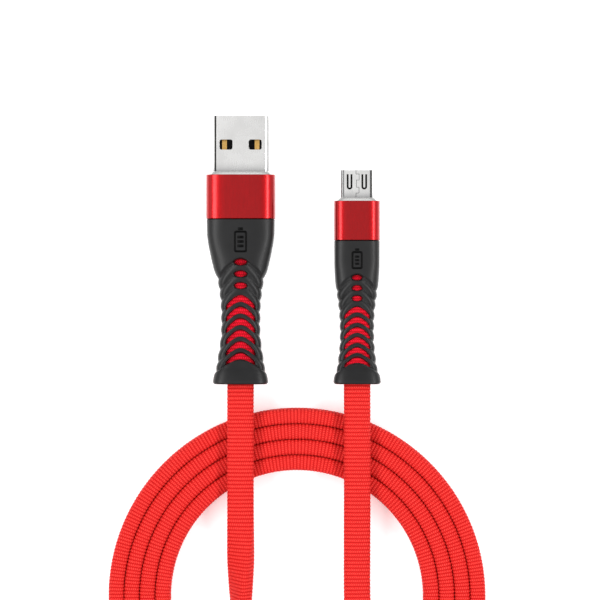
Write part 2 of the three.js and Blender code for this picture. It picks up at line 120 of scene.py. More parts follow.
FLOOR_REACH = 3.0  # metres either way
FLOOR_DROP = 0.00002  # metres, which keeps the floor just under what lies on it
FLOOR_COLOUR = (0.93, 0.93, 0.93, 1)
FLOOR_GLOW = 0.32  # light that the floor gives off by itself


def make_floor():
    """A pale table that gives off a little light of its own, so that shadows stay light."""
    material = bpy.data.materials.new("floor")
    material.use_nodes = True
    shader = material.node_tree.nodes["Principled BSDF"]
    shader.inputs["Base Color"].default_value = FLOOR_COLOUR
    shader.inputs["Roughness"].default_value = 0.9
    shader.inputs["Specular IOR Level"].default_value = 0.1
    shader.inputs["Emission Color"].default_value = (1, 1, 1, 1)
    shader.inputs["Emission Strength"].default_value = FLOOR_GLOW
    mesh = bpy.data.meshes.new("floor")
    quarters = ((-1, -1), (1, -1), (1, 1), (-1, 1))
    corners = [(x * FLOOR_REACH, y * FLOOR_REACH, -FLOOR_DROP) for x, y in quarters]
    mesh.from_pydata(corners, [], [(0, 1, 2, 3)])
    mesh.materials.append(material)
    floor = bpy.data.objects.new("floor", mesh)
    bpy.context.scene.collection.objects.link(floor)


# -------------------- mesh tools (millimetres in, metres out)

def add_object(name, points, faces, sharp_degrees=None, uv=None):
    """An object from points in millimetres. uv holds one pair for each face corner."""
    mesh = bpy.data.meshes.new(name)
    mesh.from_pydata((np.asarray(points) * MM).tolist(), [], faces)
    mesh.validate()
    if uv is not None:
        layer = mesh.uv_layers.new(name="weave")
        layer.data.foreach_set("uv", np.asarray(uv, float).ravel())
    thing = bpy.data.objects.new(name, mesh)
    bpy.context.scene.collection.objects.link(thing)
    shade(thing, sharp_degrees)
    return thing


def shade(thing, sharp_degrees=None):
    thing.data.polygons.foreach_set("use_smooth", [True] * len(thing.data.polygons))
    if sharp_degrees is not None:
        thing.data.set_sharp_from_angle(angle=math.radians(sharp_degrees))


def grid_faces(rows, columns, close_rows=False):
    """Quads over a grid of points whose columns run round and close."""
    faces = []
    for r in range(rows if close_rows else rows - 1):
        low = r * columns
        high = ((r + 1) % rows) * columns
        for c in range(columns):
            d = (c + 1) % columns
            faces.append((low + c, low + d, high + d, high + c))
    return faces


def capped_faces(rows, columns):
    """The same grid with a fan at each end: the last two points are the fans' centres."""
    faces = grid_faces(rows, columns)
    first, last = rows * columns, rows * columns + 1
    end = (rows - 1) * columns
    for c in range(columns):
        d = (c + 1) % columns
        faces.append((first, d, c))
        faces.append((last, end + c, end + d))
    return faces


def soft_section(turn, half_width, half_height, power):
    """A flat-sided round outline. turn goes from the top middle towards +x."""
    s, c = np.sin(turn), np.cos(turn)
    reach = (np.abs(s) ** power + np.abs(c) ** power) ** (-1 / power)
    return half_width * reach * s, half_height * reach * c


def even_turns(columns, half_width, half_height, power):
    """The turns that place points at even steps round such an outline."""
    turn = np.linspace(0, 2 * math.pi, 2001)
    x, z = soft_section(turn, half_width, half_height, power)
    run = np.concatenate([[0], np.cumsum(np.hypot(np.diff(x), np.diff(z)))])
    return np.interp(np.linspace(0, run[-1], columns, endpoint=False), run, turn)


def cord_section(width, thickness):
    """The flat cable's section and its outward directions, going round once. Its broad faces are crowned."""
    corner = CORD_CORNER
    points, outwards = [], []
    for quarter, (sx, sz) in enumerate(((1, 1), (1, -1), (-1, -1), (-1, 1))):
        for facet in range(4):
            angle = math.pi / 2 * (quarter + facet / 3)
            away = np.array([math.sin(angle), math.cos(angle)])
            outwards.append(away)
            corner_middle = np.array([sx * (width / 2 - corner), sz * (thickness / 2 - corner)])
            points.append(corner_middle + corner * away)
        if quarter % 2 == 1:
            outwards.append(np.array([0.0, sz]))
            points.append(np.array([0.0, sz * (thickness / 2 + CORD_CROWN)]))
    return np.array(points), np.array(outwards)


# -------------------- sizes of the cable and the plugs

CORD_WIDTH, CORD_THICKNESS = 5.75, 3.32
CORD_CORNER = 0.95  # radius of the section's corners
CORD_CROWN = 0.12  # how far the middle of a broad face stands out
RIB_HEIGHT = 0.09  # mm
RIB_PITCH = 0.81  # mm, where the cable lies flat
COILED_RIB_PITCH = 0.73  # mm, where it is wound on edge
ROWS_PER_RIB = 4


class Plug:
    """One plug's frame: x across, s the distance back from the boot's front, z up from the axis."""

    def __init__(self, prefix, outline, bend, pocket, slots):
        self.prefix = prefix
        sleeve_low, sleeve_high = node_box(f"{prefix}_sleeve")
        self.x = (sleeve_low[0] + sleeve_high[0]) / 2
        self.z = sleeve_high[2] / 2
        self.half_width = (sleeve_high[0] - sleeve_low[0]) / 2
        self.half_height = sleeve_high[2] / 2
        self.sleeve_y = (sleeve_high[1], sleeve_low[1])
        self.tip_y = node_box(f"{prefix}_shell")[1][1]
        self.boot_y = node_box(f"{prefix}_boot")[1][1]
        self.outline = np.array(outline)
        self.bend_from, self.bend_length, self.bend_angle = bend
        self.pocket = pocket
        self.slots = slots

    def bent(self, x, s, z):
        """Places plug points in the row frame, with the boot's rear bent up as in the CAD."""
        radius = self.bend_length / self.bend_angle
        along = s - self.bend_from
        angle = np.clip(along / radius, 0, self.bend_angle)
        beyond = np.maximum(along - self.bend_length, 0)
        back = (radius - z) * np.sin(angle) + beyond * np.cos(angle)
        up = radius - (radius - z) * np.cos(angle) + beyond * np.sin(angle)
        straight = along <= 0
        y = self.boot_y - np.where(straight, s, self.bend_from + back)
        return np.stack([self.x + x, y, self.z + np.where(straight, z, up)], axis=-1)


# outline: (distance back, half width, half height). bend: (from, length, radians).
# pocket: (half width, half height, depth), the hollow in the boot's front.
# slots: first and pitch along the boot, and the openings' spans across it and their lengths along it;
# Where the V has run back by flank_run, it goes on at half its slope. late is how far the first V slot is
# set back, and each later one is set back less.
USB_A = Plug(
    "usb_a",
    outline=[
        (0, 7.3, 3.85), (3.5, 7.22, 3.83), (5.2, 7.0, 3.76), (7.0, 6.65, 3.68), (9, 6.24, 3.55),
        (11, 5.74, 3.38), (12.6, 5.1, 3.2), (14.2, 4.8, 3.08), (16.5, 4.5, 2.97), (18.5, 4.3, 2.9),
        (21, 4.22, 2.87), (24.5, 4.22, 2.87), (26.5, 4.4, 2.92), (29, 4.75, 3.02), (31.2, 5.1, 3.2),
        (32.6, 5.28, 3.32), (33.3, 5.45, 3.4), (33.9, 5.76, 3.52), (34.3, 5.92, 3.58), (34.89, 5.94, 3.6),
    ],
    bend=(10, 23.6, 0.212),
    pocket=(5.3, 2.0, 3.6),
    slots={"first": 9.25, "pitch": 2.58, "ovals": 3, "count": 9, "span": 6.3, "oval": 2.8,
           "opening": 1.47, "oval_opening": 1.35, "flank_run": 3.4, "late": 0.24},
)
MICRO_B = Plug(
    "micro_b",
    outline=[
        (0, 4.86, 3.34), (5.3, 4.84, 3.3), (8.5, 4.68, 3.15), (11, 4.42, 3.0), (13, 4.14, 2.86),
        (15, 3.87, 2.76), (17.5, 3.72, 2.68), (20, 3.68, 2.66), (22, 3.7, 2.66), (24.4, 3.92, 2.74),
        (26.5, 4.14, 2.84), (28, 4.38, 2.95), (28.8, 4.62, 3.06), (29.3, 4.92, 3.18), (29.7, 5.07, 3.24),
        (30.31, 5.09, 3.25),
    ],
    bend=(6.5, 22.6, 0.25),
    pocket=(3.5, 1.75, 2.6),
    slots={"first": 8.05, "pitch": 2.275, "ovals": 3, "count": 9, "span": 5.5, "oval": 2.2,
           "opening": 1.26, "oval_opening": 1.2, "flank_run": 2.5, "late": 0.2},
)


# -------------------- the cable's route

COIL_X, COIL_Y = 0.8, -74.6  # mm, the coil's middle
COIL_INNER, COIL_PITCH = 27.2, 3.34  # mm, the radius of its hollow and the step from turn to turn
COIL_STEP = 10  # degrees between route points
COIL_START, COIL_END = 275, 1350  # degrees: where the wound part starts, and how far round it goes
FLOOR_GAP = 0.01  # mm under the coil
RAMP = 60  # degrees over which each turn steps out to the next

# The tails' points: (x, y, z, roll). At a roll of 0 degrees the cable lies flat, and at 90 it stands on edge.
TAIL_A_ROUTE = [
    (-11.3, -28.35, 6.76, 0), (-11.3, -32, 7.36, 0), (-11.3, -36, 7.56, 0), (-11.3, -43, 7.56, 0),
    (-11.3, -50, 7.52, 0), (-11.3, -56, 7.1, 0), (-11.3, -62, 6.2, 12), (-11.3, -68, 5.1, 34),
    (-11.3, -74, 4.05, 58), (-11.25, -80, 3.25, 78), (-10.9, -86, 2.95, 90), (-9.1, -92, 2.92, 90),
    (-5.4, -96.7, 2.92, 90), (-0.6, -99.4, 2.92, 90),
]
TAIL_B_ROUTE = [
    (-22.3, -104.2, 7.66, 0), (-17, -107.2, 7.62, 0), (-11.7, -108.9, 7.6, 0), (-7, -109.4, 7.6, 0),
    (-2.2, -109, 7.6, 0), (2.3, -107.8, 7.6, 0), (6.4, -105.7, 7.6, 0), (10, -102.6, 7.6, 0),
    (12.7, -98.6, 7.6, 0), (14, -94, 7.5, 0), (14.2, -89.5, 7.05, 0), (13.95, -84, 6.2, 0),
    (13.8, -78, 5.6, 0), (13.7, -72, 5.5, 0), (13.7, -66, 5.85, 0), (13.7, -60, 6.6, 0),
    (13.7, -54, 7.35, 0), (13.7, -49, 7.58, 0), (13.7, -43, 7.58, 0), (13.7, -36, 7.56, 0),
    (13.7, -31.5, 7.2, 0), (13.7, -28.25, 6.58, 0),
]
# The outer turn climbs onto the coil and turns flat: (degrees round, radius, z, roll).
CLIMB = [
    (192, 38.9, 3.0, 90), (200, 38.9, 3.8, 90), (208, 38.8, 5.0, 84), (216, 38.6, 6.3, 62),
    (224, 38.1, 7.3, 28),
]
STEPS_PER_POINT = 24  # fine steps of the curve between two route points


def smooth(t):
    return t * t * (3 - 2 * t)


def on_circle(degrees, radius, z, roll):
    a = math.radians(degrees)
    return (COIL_X + radius * math.cos(a), COIL_Y + radius * math.sin(a), z, roll)


def coil_route():
    """The turns stand on edge side by side, and all step out one place over the same short ramp."""
    points = []
    for turned in range(0, COIL_END + 1, COIL_STEP):
        place = turned // 360 + smooth(min((turned % 360) / RAMP, 1))
        radius = COIL_INNER + (place - 0.5) * COIL_PITCH
        points.append(on_circle(COIL_START + turned, radius, CORD_WIDTH / 2 + FLOOR_GAP, 90))
    return points


def smooth_route(route):
    """A smooth curve through the route in fine steps: centres, rolls in radians and the length run so far."""
    route = np.array(route, float)
    padded = np.vstack([2 * route[0] - route[1], route, 2 * route[-1] - route[-2]])
    stretches = []
    for i in range(len(route) - 1):
        p0, p1, p2, p3 = padded[i:i + 4]
        t = np.linspace(0, 1, STEPS_PER_POINT, endpoint=False)[:, None]
        stretches.append(0.5 * (2 * p1 + (p2 - p0) * t + (2 * p0 - 5 * p1 + 4 * p2 - p3) * t ** 2
                                + (3 * p1 - p0 - 3 * p2 + p3) * t ** 3))
    fine = np.vstack(stretches + [route[-1:]])
    run = np.concatenate([[0], np.cumsum(np.linalg.norm(np.diff(fine[:, :3], axis=0), axis=1))])
    return fine[:, :3], np.radians(fine[:, 3]), run


def braid_tube(name, centres, rolls, run, width=CORD_WIDTH):
    """A ribbed flat tube along a line. Its UVs are millimetres round the section and ribs along it."""
    pitch = RIB_PITCH + (COILED_RIB_PITCH - RIB_PITCH) * np.sin(rolls) ** 2
    step_pitch = (pitch[1:] + pitch[:-1]) / 2
    ribs = np.concatenate([[0], np.cumsum(np.diff(run) / step_pitch)])
    rows = int(ribs[-1] * ROWS_PER_RIB) + 1
    at_rib = np.linspace(0, ribs[-1], rows)
    centres = np.stack([np.interp(at_rib, ribs, centres[:, axis]) for axis in range(3)], axis=1)
    rolls = np.interp(at_rib, ribs, rolls)
    tangent = np.gradient(centres, axis=0)
    tangent /= np.linalg.norm(tangent, axis=1)[:, None]
    level = np.cross(tangent, [0, 0, 1])
    level /= np.linalg.norm(level, axis=1)[:, None]
    side = np.cross(tangent, level)
    turn_c, turn_s = np.cos(rolls)[:, None], np.sin(rolls)[:, None]
    across, lift = level * turn_c + side * turn_s, side * turn_c - level * turn_s
    section, outwards = cord_section(width - 2 * RIB_HEIGHT, CORD_THICKNESS - 2 * RIB_HEIGHT)
    columns = len(section)
    wave = RIB_HEIGHT * np.sin(math.pi * at_rib) ** 2
    shape = section[None] + outwards[None] * wave[:, None, None]
    points = centres[:, None] + across[:, None] * shape[:, :, :1] + lift[:, None] * shape[:, :, 1:]
    points = np.vstack([points.reshape(-1, 3), centres[:1], centres[-1:]])
    closed = np.vstack([section, section[:1]])
    round_run = np.concatenate([[0], np.cumsum(np.linalg.norm(np.diff(closed, axis=0), axis=1))])
    uv = []
    for r in range(rows - 1):
        low, high = at_rib[r], at_rib[r + 1]
        for c in range(columns):
            here, there = round_run[c], round_run[c + 1]
            uv += [(here, high), (there, high), (there, low), (here, low)]
    uv += [(0, 0)] * (columns * 6)
    faces = [face[::-1] for face in capped_faces(rows, columns)]
    return add_object(name, points, faces, uv=uv)


def make_cord():
    lift_off = [on_circle(*point) for point in CLIMB]
    route = TAIL_A_ROUTE + coil_route() + lift_off + TAIL_B_ROUTE
    centres, rolls, run = smooth_route(route)
    cord = braid_tube("braided_cable", centres, rolls, run)
    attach(cord, BODY)
    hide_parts("cable_tail_a", "cable_coil", "cable_tail_b")
    return cord


# -------------------- materials

class Finish:
    """A material and its node tree, with short calls for the nodes that the finishes use."""

    def __init__(self, name, roughness, metallic=0.0, specular=0.5, coat=0.0, coat_roughness=0.1):
        self.material = bpy.data.materials.new(name)
        self.material.use_nodes = True
        self.tree = self.material.node_tree
        self.shader = self.tree.nodes["Principled BSDF"]
        self.shader.inputs["Roughness"].default_value = roughness
        self.shader.inputs["Metallic"].default_value = metallic
        self.shader.inputs["Specular IOR Level"].default_value = specular
        self.shader.inputs["Coat Weight"].default_value = coat
        self.shader.inputs["Coat Roughness"].default_value = coat_roughness

    def node(self, kind, **settings):
        node = self.tree.nodes.new("ShaderNode" + kind)
        for key, value in settings.items():
            setattr(node, key, value)
        return node

    def feed(self, socket, value):
        if isinstance(value, bpy.types.NodeSocket):
            self.tree.links.new(value, socket)
        else:
            socket.default_value = value

    def math(self, operation, *values, clamp=False):
        node = self.node("Math", operation=operation, use_clamp=clamp)
        for socket, value in zip(node.inputs, values):
            self.feed(socket, value)
        return node.outputs[0]

    def place(self):
        """Object coordinates in millimetres."""
        scale = self.node("VectorMath", operation="SCALE")
        self.feed(scale.inputs[0], self.node("TexCoord").outputs["Object"])
        scale.inputs["Scale"].default_value = 1 / MM
        return scale.outputs[0]

    def stretched(self, vector, factors):
        product = self.node("VectorMath", operation="MULTIPLY")
        self.feed(product.inputs[0], vector)
        product.inputs[1].default_value = factors
        return product.outputs[0]

    def noise(self, vector, scale):
        """Grey noise from 0 to 1, with scale in waves per millimetre."""
        node = self.node("TexNoise")
        self.feed(node.inputs["Vector"], vector)
        node.inputs["Scale"].default_value = scale
        node.inputs["Detail"].default_value = 3.0
        return node.outputs["Fac"]

    def ramp(self, factor, stops):
        node = self.node("ValToRGB")
        elements = node.color_ramp.elements
        while len(elements) < len(stops):
            elements.new(0.5)
        for element, (position, colour) in zip(elements, stops):
            element.position = position
            element.color = (*colour, 1)
        self.feed(node.inputs[0], factor)
        return node.outputs["Color"]

    def blend(self, factor, under, over):
        node = self.node("Mix", data_type="RGBA")
        self.feed(node.inputs["Factor"], factor)
        self.feed(node.inputs["A"], under)
        self.feed(node.inputs["B"], over)
        return node.outputs["Result"]

    def axes(self, vector):
        split = self.node("SeparateXYZ")
        self.feed(split.inputs[0], vector)
        return split.outputs[0], split.outputs[1], split.outputs[2]

    def band(self, along, low, high):
        """1 from low to high and 0 elsewhere, with soft ends."""
        soft = 0.06
        start = self.math("DIVIDE", self.math("SUBTRACT", along, low - soft / 2), soft, clamp=True)
        end = self.math("DIVIDE", self.math("SUBTRACT", high + soft / 2, along), soft, clamp=True)
        return self.math("MULTIPLY", start, end)

    def between(self, factor, low, high):
        """A number that runs from low to high as factor runs from 0 to 1."""
        return self.math("ADD", self.math("MULTIPLY", factor, high - low), low)

    def bump(self, height, distance, strength):
        """distance is the depth in millimetres that a height of 1 stands for."""
        node = self.node("Bump")
        node.inputs["Strength"].default_value = strength
        node.inputs["Distance"].default_value = distance * MM
        self.feed(node.inputs["Height"], height)
        self.feed(self.shader.inputs["Normal"], node.outputs["Normal"])

    def colour(self, value):
        self.feed(self.shader.inputs["Base Color"], value)

    def roughness(self, value):
        self.feed(self.shader.inputs["Roughness"], value)


STITCH = 0.42  # mm across one thread of the braid


def braid_with_painted_shade(name, groove, body, lit_crest):
    """Rows of slanted threads: u runs round the cable in millimetres, and v counts its ribs."""
    f = Finish(name, roughness=0.72, specular=0.2)
    u, v, _ = f.axes(f.node("UVMap", uv_map="weave").outputs[0])
    in_row = f.math("FRACT", v)
    rib = f.math("SINE", f.math("MULTIPLY", in_row, math.pi))
    place = f.place()
    slant = f.math("MULTIPLY", f.math("ABSOLUTE", f.math("SUBTRACT", in_row, 0.5)), 1.2)
    brick = f.math("MULTIPLY", f.math("FLOOR", v), 0.5)
    wander = f.math("MULTIPLY", f.noise(place, 0.9), 0.5)
    shift = f.math("ADD", f.math("ADD", slant, brick), wander)
    across = f.math("FRACT", f.math("ADD", f.math("DIVIDE", u, STITCH), shift))
    thread = f.math("SINE", f.math("MULTIPLY", across, math.pi))
    fibre = f.noise(place, 3.2)
    plump = f.between(thread, 0.12, 1.0)
    height = f.math("MULTIPLY", plump, f.math("POWER", rib, 0.6))
    # The colour follows the weave's height: painted shade in the grooves between threads and a painted
    # highlight on the crests; the fibre noise is the thread's own tone.
    tone = f.math("ADD", f.math("MULTIPLY", height, 0.85), f.math("MULTIPLY", fibre, 0.3))
    f.colour(f.ramp(tone, [(0.2, groove), (0.6, body), (0.98, lit_crest)]))
    f.roughness(f.between(fibre, 0.62, 0.85))
    f.bump(height, 0.12, 0.9)
    return f.material


def anodised_finish(name, front_y, tint):
    """Dyed, bead-blasted aluminium with a bare turned edge in front of front_y."""
    f = Finish(name, roughness=0.32, metallic=1.0, coat=0.5, coat_roughness=0.18)
    place = f.place()
    bare = f.math("MULTIPLY", f.math("SUBTRACT", f.axes(place)[1], front_y), 25.0, clamp=True)
    grain = f.noise(place, 7.0)
    brushed = f.noise(f.stretched(place, (5.0, 0.5, 5.0)), 1.0)
    deep = tuple(channel * 0.75 for channel in tint)
    dye = f.ramp(f.math("ADD", f.math("MULTIPLY", grain, 0.5), f.math("MULTIPLY", brushed, 0.5)),
                 [(0.3, deep), (0.7, tint)])
    turned = f.noise(f.stretched(place, (0.4, 30.0, 0.4)), 1.0)
    metal = f.ramp(turned, [(0.2, (0.66, 0.65, 0.64)), (0.8, (0.80, 0.80, 0.79))])
    f.colour(f.blend(bare, dye, metal))
    f.roughness(f.math("SUBTRACT", f.between(grain, 0.29, 0.38), f.math("MULTIPLY", bare, 0.08)))
    f.bump(grain, 0.006, 0.6)
    return f.material


SEAT_REACH = 2.4  # mm of a shell painted darker before its sleeve: a painted reflection of the sleeve


def nickel_with_painted_reflections(name, seat_y, bends):
    """Plated sheet: faint drawing lines along the plug, soft smudges and a fine grain.

    It is painted darker over SEAT_REACH towards seat_y, where it enters the sleeve: a painted reflection of
    the sleeve.
    Each bend is (low x, high x, tone) in millimetres: a painted dark reflection along a folded edge.
    """
    f = Finish(name, roughness=0.25, metallic=1.0)
    place = f.place()
    x, y, _ = f.axes(place)
    drawn = f.noise(f.stretched(place, (9.0, 0.35, 9.0)), 1.0)
    smudge = f.noise(place, 0.35)
    tone = f.math("ADD", f.math("MULTIPLY", drawn, 0.35), f.math("MULTIPLY", smudge, 0.65))
    colour = f.ramp(tone, [(0.3, (0.80, 0.795, 0.785)), (0.7, (0.88, 0.875, 0.865))])
    # Painted reflection of the sleeve: the sheet is painted darker towards seat_y.
    near_seat = f.math("DIVIDE", f.math("SUBTRACT", seat_y + SEAT_REACH, y), SEAT_REACH, clamp=True)
    painted_seat_reflection = f.math("MULTIPLY", f.math("POWER", near_seat, 2.0), 0.6)
    colour = f.blend(painted_seat_reflection, colour, (0.22, 0.22, 0.23, 1))
    # Painted reflections: a dark line painted along each folded edge.
    for low, high, shade_tone in bends:
        colour = f.blend(f.band(x, low, high), colour, (shade_tone, shade_tone, shade_tone, 1))
    f.colour(colour)
    f.roughness(f.between(tone, 0.22, 0.32))
    f.bump(drawn, 0.0012, 0.4)
    return f.material


def metal_finish(name, dark, light, roughness):
    """Small stamped or drawn metal parts."""
    f = Finish(name, roughness=roughness, metallic=1.0)
    place = f.place()
    grain = f.noise(f.stretched(place, (6.0, 1.2, 6.0)), 1.0)
    f.colour(f.ramp(grain, [(0.3, dark), (0.7, light)]))
    f.roughness(f.between(grain, roughness - 0.07, roughness + 0.1))
    f.bump(grain, 0.004, 0.5)
    return f.material


def rubber_finish(name, dark, light, specular):
    """Moulded elastomer with a fine matt grain, rubbed a little paler in patches."""
    f = Finish(name, roughness=0.45, specular=specular)
    place = f.place()
    grain = f.noise(place, 11.0)
    patch = f.noise(place, 0.3)
    tone = f.math("ADD", f.math("MULTIPLY", grain, 0.45), f.math("MULTIPLY", patch, 0.55))
    f.colour(f.ramp(tone, [(0.3, dark), (0.7, light)]))
    f.roughness(f.between(tone, 0.34, 0.44))
    f.bump(grain, 0.008, 0.5)
    return f.material


def plastic_finish(name, dark, light, roughness=0.4, specular=0.4):
    """Moulded plastic or extruded wire cover."""
    f = Finish(name, roughness=roughness, specular=specular)
    place = f.place()
    grain = f.noise(place, 5.0)
    f.colour(f.ramp(grain, [(0.3, dark), (0.7, light)]))
    f.roughness(f.between(grain, roughness - 0.06, roughness + 0.1))
    f.bump(grain, 0.006, 0.4)
    return f.material


# -------------------- boots

BOOT_COLUMNS = 184
BOOT_ROW = 0.135  # mm between rows
BOOT_TYPICAL = (5.5, 3.4, 3.8)  # a section partway back, which spaces the columns evenly
CHEVRON_SLOPE, CHEVRON_APEX = 1.1, 1.85
SLOT_TAPER = 0.28  # how much shorter a V slot is at its ends than in the middle
SLOT_CORNER = 0.34
SLOT_WALL = 0.24  # mm over which the surface drops into an opening
SLOT_WALL_START = 0.08  # mm of that which lie outside the opening's outline
GROOVE_DEPTH = 0.34  # mm, between two ribs
GROOVE_FLANK_LOSS = 0.06  # mm shallower on the flanks
RIB_SINK = 0.22  # mm by which the ribbed stretch lies below the plain one, away from the flanks
SLEEVE_POWER = 4.2  # squareness of the sleeves: 2 is an ellipse
BORE_CLEARANCE = 0.12
BORE_POWER = 3.6  # squareness of the bore
POCKET_POWER = 6
FRONT_EDGE = 0.15  # mm, a bevel round each boot's front face
LIP_RADIUS = 0.55  # round rear edge of each boot
REAR_REACH = 1.6  # mm over which the rear face is brought upright
MOULDED_EXTRA = 1.0  # mm by which the cable is pressed wider inside a boot


def chevron(plug, x):
    """How far back the V of a groove or slot has run at x. It bends less on the boot's flanks."""
    run = CHEVRON_SLOPE * (np.hypot(x, CHEVRON_APEX) - CHEVRON_APEX)
    flank_run = plug.slots["flank_run"]
    return np.minimum(run, flank_run + 0.5 * (run - flank_run))


def boot_section(plug, s):
    """Half width, half height and squareness at distances back from the boot's front."""
    table = plug.outline
    step = 0.05
    fine = np.arange(0, table[-1, 0] + step / 2, step)
    reach = 14
    bell = np.exp(-0.5 * (np.arange(-reach, reach + 1) / (reach / 2.5)) ** 2)
    bell /= bell.sum()
    sizes = []
    for column in (1, 2):
        size = np.interp(fine, table[:, 0], table[:, column])
        size = np.convolve(np.pad(size, reach, mode="reflect", reflect_type="odd"), bell, "valid")
        sizes.append(np.interp(s, fine, size))
    length = table[-1, 0]
    power = np.interp(s, [0, 4.5, 9, length - 5, length], [SLEEVE_POWER, 4.4, 3.3, 3.3, 4.2])
    return sizes[0], sizes[1], power


def slot_opening(plug, x, gap, oval):
    """How far inside an opening's outline a point is: negative outside, in millimetres."""
    half, tall = plug.slots["oval"] / 2, plug.slots["oval_opening"] / 2
    in_oval = (1 - np.hypot(x / half, gap / tall)) * tall
    half = plug.slots["span"] / 2
    tall = plug.slots["opening"] / 2 * (1 - SLOT_TAPER * (x / half) ** 2)
    dx = np.abs(x) - (half - SLOT_CORNER)
    dy = gap - (tall - SLOT_CORNER)
    outside = np.hypot(np.maximum(dx, 0), np.maximum(dy, 0))
    in_slot = SLOT_CORNER - outside - np.minimum(np.maximum(dx, dy), 0)
    return np.where(oval, in_oval, in_slot)


def boot_skin(plug, turn):
    """The outer rows of the boot, as x, s and z, with its V grooves and its slots."""
    length = plug.outline[-1, 0]
    first, pitch, count = (plug.slots[key] for key in ("first", "pitch", "count"))
    last = first + (count - 1) * pitch
    lip = LIP_RADIUS
    u = np.linspace(0, length - lip, int((length - lip) / BOOT_ROW))[:, None]
    follow = np.interp(u, [first - 5, first - 1, last - pitch, last, length - lip], [0, 1, 1, 0.88, 0])
    s = u + 0 * turn[None]
    for _ in range(5):
        a, b, power = boot_section(plug, s)
        x, z = soft_section(turn[None], a, b, power)
        s = np.minimum(u + follow * chevron(plug, x), length - lip)
    nx = np.sign(x) * np.abs(x / a) ** (power - 1) / a
    nz = np.sign(z) * np.abs(z / b) ** (power - 1) / b
    size = np.hypot(nx, nz)
    nearest = np.clip(np.round((u - first) / pitch), 0, count - 1)
    middle = first + nearest * pitch
    gap = np.abs(u - middle)
    flank = np.abs(x / a) ** 3
    arch = 1 - np.sin(math.pi / 2 * np.minimum(gap / (pitch / 2), 1))
    ribbed = np.interp(u, [first - 1.0, first - 0.7, last + 0.9, last + 1.2], [0, 1, 1, 0])
    depth = (GROOVE_DEPTH - GROOVE_FLANK_LOSS * flank) * arch + RIB_SINK * ribbed * (1 - flank)
    x = x - depth * nx / size
    z = z - depth * nz / size
    oval = nearest + 0 * x < plug.slots["ovals"]
    late = plug.slots["late"] * (count - nearest) / (count - plug.slots["ovals"])
    off_middle = np.where(oval, s - middle, u - middle - late)
    inside = slot_opening(plug, x, np.abs(off_middle), oval)
    open_part = smooth(np.clip((inside + SLOT_WALL_START) / SLOT_WALL, 0, 1))
    floor = np.sign(z) * np.interp(np.abs(x), [0, CORD_WIDTH / 2 - 0.3, CORD_WIDTH / 2 + 0.3],
                                   [CORD_THICKNESS / 2 - 0.4, CORD_THICKNESS / 2 - 0.6, 0.3])
    z = z + open_part * (floor - z)
    return x, s, z


def ring(turn, half_width, half_height, power, s):
    """One plain row across the boot, at s."""
    x, z = soft_section(turn, half_width, half_height, power)
    return x, np.full_like(x, s), z


def upright_rear(plug, s, z):
    """Stretches the boot's rear end so that its rear face stands upright, not square to the bend."""
    length = plug.outline[-1, 0]
    share = smooth(np.clip((s - length + REAR_REACH) / REAR_REACH, 0, 1))
    return s + share * (z + plug.outline[-1, 2]) * math.tan(plug.bend_angle)


def make_boot(plug):
    length = plug.outline[-1, 0]
    turn = even_turns(BOOT_COLUMNS, *BOOT_TYPICAL)
    pocket_x, pocket_z, pocket_depth = plug.pocket
    bore = (CORD_WIDTH / 2 + BORE_CLEARANCE, CORD_THICKNESS / 2 + BORE_CLEARANCE, BORE_POWER)
    front_a, front_b, front_power = (float(v) for v in boot_section(plug, 0.0))
    rear_a, rear_b, rear_power = (float(v) for v in boot_section(plug, length))
    rows = [
        ring(turn, pocket_x, pocket_z, POCKET_POWER, pocket_depth),
        ring(turn, pocket_x, pocket_z, POCKET_POWER, FRONT_EDGE),
        ring(turn, pocket_x + FRONT_EDGE, pocket_z + FRONT_EDGE, POCKET_POWER, 0),
        ring(turn, front_a - FRONT_EDGE, front_b - FRONT_EDGE, front_power, 0),
    ]
    skin_x, skin_s, skin_z = boot_skin(plug, turn)
    skin_s[0] = FRONT_EDGE
    rows += list(zip(skin_x, skin_s, skin_z))
    lip = LIP_RADIUS
    for angle in np.radians([15, 30, 45, 60, 75, 90]):
        inset = lip * (1 - math.cos(angle))
        at = length - lip + lip * math.sin(angle)
        rows.append(ring(turn, rear_a - inset, rear_b - inset, rear_power, at))
    rows.append(ring(turn, bore[0] + 0.2, bore[1] + 0.2, bore[2], length))
    rows.append(ring(turn, *bore, length - 0.2))
    rows.append(ring(turn, *bore, length - 1))
    x, s, z = (np.array([row[i] for row in rows]) for i in range(3))
    points = plug.bent(x, upright_rear(plug, s, z), z).reshape(-1, 3)
    ends = plug.bent(np.zeros(2), np.array([pocket_depth, length - 1]), np.zeros(2))
    faces = capped_faces(len(rows), len(turn))
    boot = add_object(f"{plug.prefix}_ribbed_boot", np.vstack([points, ends]), faces, sharp_degrees=50)
    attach(boot, BODY)
    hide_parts(f"{plug.prefix}_boot")
    return boot


def make_cable_end(plug):
    """The stretch of cable inside the boot, which shows in the slots."""
    start = plug.pocket[2] + 0.3
    end = plug.outline[-1, 0] - 0.9
    at = np.linspace(start, end, 200)
    centres = plug.bent(0 * at, at, 0 * at)
    cable = braid_tube(f"{plug.prefix}_moulded_cable", centres, 0 * at, at, CORD_WIDTH + MOULDED_EXTRA)
    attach(cable, BODY)
    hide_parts(f"{plug.prefix}_cable_end")
    return cable


# -------------------- sleeves

SLEEVE_COLUMNS = 176
CHAMFER_AXIAL, CHAMFER_RADIAL = 0.68, 0.36
CHAMFER_BLEND = 0.12  # mm behind the chamfer before the side runs straight
SLEEVE_EDGE = 0.04  # mm, the small bevels on its sharp edges
SLEEVE_BACK_ROUND = 0.15
SLEEVE_ROWS = 24  # stretches along the straight side


